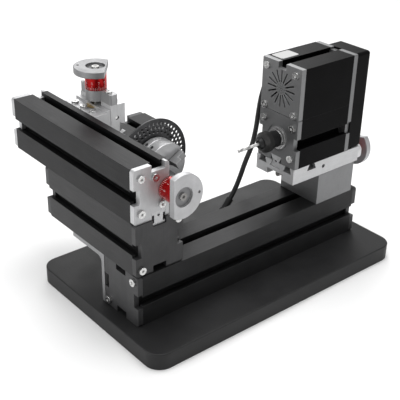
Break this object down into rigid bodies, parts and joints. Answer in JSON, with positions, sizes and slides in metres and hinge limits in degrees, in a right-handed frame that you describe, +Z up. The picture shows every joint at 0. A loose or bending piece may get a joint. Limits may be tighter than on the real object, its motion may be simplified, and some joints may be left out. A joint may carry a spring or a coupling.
{
  "type": "modular bench lathe set up for drilling",
  "caption": "Small modular bench machine on slotted aluminium beams: motor head with drill chuck on a bed, cross slides carrying a dividing head with a jaw chuck, on a flat base.",
  "frame": {"origin": "centre of the underside of the base plate", "axes": "+X along the bed from the work towards the motor head, +Y across it to the back, +Z up"},
  "size_m": [0.3113, 0.2452, 0.2115],
  "materials": {
    "base_board": "satin",
    "black_anodised": "satin",
    "silver_anodised": "satin",
    "plated_steel": "satin",
    "brass": "satin",
    "red_anodised": "satin",
    "blackened_steel": "satin",
    "motor_can": "satin",
    "pulley_plastic": "matte",
    "belt_rubber": "matte",
    "lead_rubber": "satin"
  },
  "bodies": {
    "frame": {"base_plate": "base_board", "bed_profile": "black_anodised", "bed_end_plates": "black_anodised", "frame_plate_screws": "plated_steel", "angle_bracket": "silver_anodised", "cross_beam_profile": "black_anodised", "cross_beam_end_plates": "black_anodised", "table_profile": "black_anodised", "table_end_plates": "silver_anodised", "table_connector_bar": "silver_anodised", "head_pedestal": "silver_anodised", "x_feed_nut": "brass"},
    "y_wheel": {"y_leadscrew": "plated_steel", "y_dial": "red_anodised", "y_handwheel": "silver_anodised"},
    "carriage": {"y_carriage": "silver_anodised", "carriage_feed_nuts": "brass", "carriage_gib_screws": "plated_steel"},
    "z_slide": {"z_slide_plate": "silver_anodised", "z_bearing_bracket": "silver_anodised", "z_slide_screws": "plated_steel", "dividing_housing": "black_anodised", "dividing_end_plates": "silver_anodised", "dividing_bearings": "plated_steel"},
    "z_wheel": {"z_leadscrew": "plated_steel", "z_dial": "red_anodised", "z_handwheel": "silver_anodised"},
    "index_pin": {"index_pin": "plated_steel"},
    "work_spindle": {"work_spindle": "plated_steel", "index_plate": "black_anodised", "work_chuck_body": "silver_anodised"},
    "scroll": {"work_chuck_scroll": "silver_anodised"},
    "jaw_1": {"work_chuck_jaw_1": "plated_steel"},
    "jaw_2": {"work_chuck_jaw_2": "plated_steel"},
    "jaw_3": {"work_chuck_jaw_3": "plated_steel"},
    "head": {"head_slide_plate": "silver_anodised", "x_bearing_bracket": "silver_anodised", "spindle_housing": "black_anodised", "motor_housing": "black_anodised", "spindle_front_plate": "silver_anodised", "motor_front_plate": "silver_anodised", "head_rear_plate": "silver_anodised", "belt_cover": "black_anodised", "head_plate_screws": "plated_steel", "head_connector_bar": "silver_anodised", "spindle_bearings": "plated_steel", "motor": "motor_can", "drive_belt": "belt_rubber", "lead_gland": "lead_rubber", "motor_lead": "lead_rubber", "lead_plug": "lead_rubber"},
    "x_wheel": {"x_leadscrew": "plated_steel", "x_dial": "red_anodised", "x_handwheel": "silver_anodised"},
    "motor_shaft": {"motor_pulley": "pulley_plastic"},
    "spindle": {"spindle": "plated_steel", "spindle_pulley": "pulley_plastic", "drill_chuck_body": "blackened_steel", "drill_bit": "plated_steel"},
    "sleeve": {"drill_chuck_sleeve": "blackened_steel"}
  },
  "joints": [
    {"name": "y_wheel_turn", "type": "hinge", "parent": "frame", "child": "y_wheel", "pos_m": [-0.1037, -0.0643, 0.141], "axis": [0, 1, 0], "range_deg": [-10800, 21600]},
    {"name": "carriage_feed", "type": "slide", "parent": "frame", "child": "carriage", "axis": [0, 1, 0], "range_m": [-0.06, 0.03]},
    {"name": "z_wheel_turn", "type": "hinge", "parent": "z_slide", "child": "z_wheel", "pos_m": [-0.0831, 0.089, 0.2], "axis": [0, 0, 1], "range_deg": [-1080, 10800]},
    {"name": "vertical_feed", "type": "slide", "parent": "carriage", "child": "z_slide", "axis": [0, 0, 1], "range_m": [-0.003, 0.03]},
    {"name": "x_wheel_turn", "type": "hinge", "parent": "head", "child": "x_wheel", "pos_m": [0.1563, -0.024, 0.0992], "axis": [1, 0, 0], "range_deg": [-1440, 10080]},
    {"name": "head_feed", "type": "slide", "parent": "frame", "child": "head", "axis": [1, 0, 0], "range_m": [-0.004, 0.028]},
    {"name": "work_spindle_turn", "type": "hinge", "parent": "z_slide", "child": "work_spindle", "pos_m": [-0.0438, 0.083, 0.1115], "axis": [0, 1, 0], "continuous": true},
    {"name": "index_pin_push", "type": "slide", "parent": "z_slide", "child": "index_pin", "axis": [0, -1, 0], "range_m": [0, 0.004]},
    {"name": "scroll_turn", "type": "hinge", "parent": "work_spindle", "child": "scroll", "pos_m": [-0.0438, 0.049, 0.1115], "axis": [0, 1, 0], "range_deg": [-720, 720]},
    {"name": "spindle_turn", "type": "hinge", "parent": "head", "child": "spindle", "pos_m": [0.0798, -0.024, 0.138], "axis": [1, 0, 0], "continuous": true},
    {"name": "motor_turn", "type": "hinge", "parent": "head", "child": "motor_shaft", "pos_m": [0.1, -0.024, 0.187], "axis": [1, 0, 0], "continuous": true},
    {"name": "chuck_sleeve_turn", "type": "hinge", "parent": "spindle", "child": "sleeve", "pos_m": [0.0255, -0.024, 0.138], "axis": [1, 0, 0], "range_deg": [-360, 360]},
    {"name": "jaw_1_slide", "type": "slide", "parent": "work_spindle", "child": "jaw_1", "axis": [0, 0, -1], "range_m": [-0.002, 0.002]},
    {"name": "jaw_2_slide", "type": "slide", "parent": "work_spindle", "child": "jaw_2", "axis": [-0.866, 0, 0.5], "range_m": [-0.002, 0.002]},
    {"name": "jaw_3_slide", "type": "slide", "parent": "work_spindle", "child": "jaw_3", "axis": [0.866, 0, 0.5], "range_m": [-0.002, 0.002]}
  ],
  "couplings": [
    {"joint": "y_wheel_turn", "follows": "carriage_feed", "rad_per_m": -6283.2},
    {"joint": "z_wheel_turn", "follows": "vertical_feed", "rad_per_m": 6283.2},
    {"joint": "x_wheel_turn", "follows": "head_feed", "rad_per_m": 6283.2},
    {"joint": "motor_turn", "follows": "spindle_turn", "ratio": 1.9},
    {"joint": "scroll_turn", "follows": "jaw_1_slide", "rad_per_m": 6283.2},
    {"joint": "jaw_2_slide", "follows": "jaw_1_slide", "ratio": 1},
    {"joint": "jaw_3_slide", "follows": "jaw_1_slide", "ratio": 1}
  ]
}
